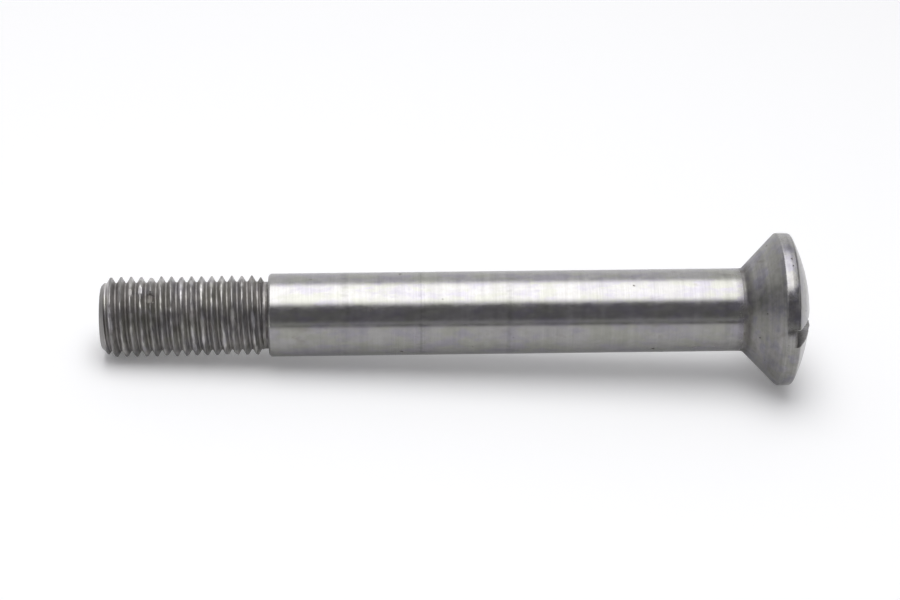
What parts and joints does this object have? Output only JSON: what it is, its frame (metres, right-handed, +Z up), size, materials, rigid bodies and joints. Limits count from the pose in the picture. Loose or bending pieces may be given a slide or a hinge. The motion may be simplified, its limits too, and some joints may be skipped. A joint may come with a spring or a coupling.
{
  "type": "bolt",
  "caption": "Slotted raised countersunk steel bolt with a long plain shank and a short fine-threaded end.",
  "frame": {"origin": "on the surface that the bolt lies on, below the middle of its bounding box", "axes": "+Z up. The bolt lies along X with its head towards +X and its thread towards -X. Its axis rises 3.19 degrees towards the head, because it rests on the rim of the head and on the first whole crest of the thread. The driver slot is 6.5 degrees from level: its end towards -Y is the higher one"},
  "size_m": [0.0886, 0.0192, 0.0192],
  "materials": {
    "steel": "worn plain steel: satin ground shank, dull stained thread and cone"
  },
  "bodies": {
    "root": {"bolt": "steel"}
  },
  "joints": []
}
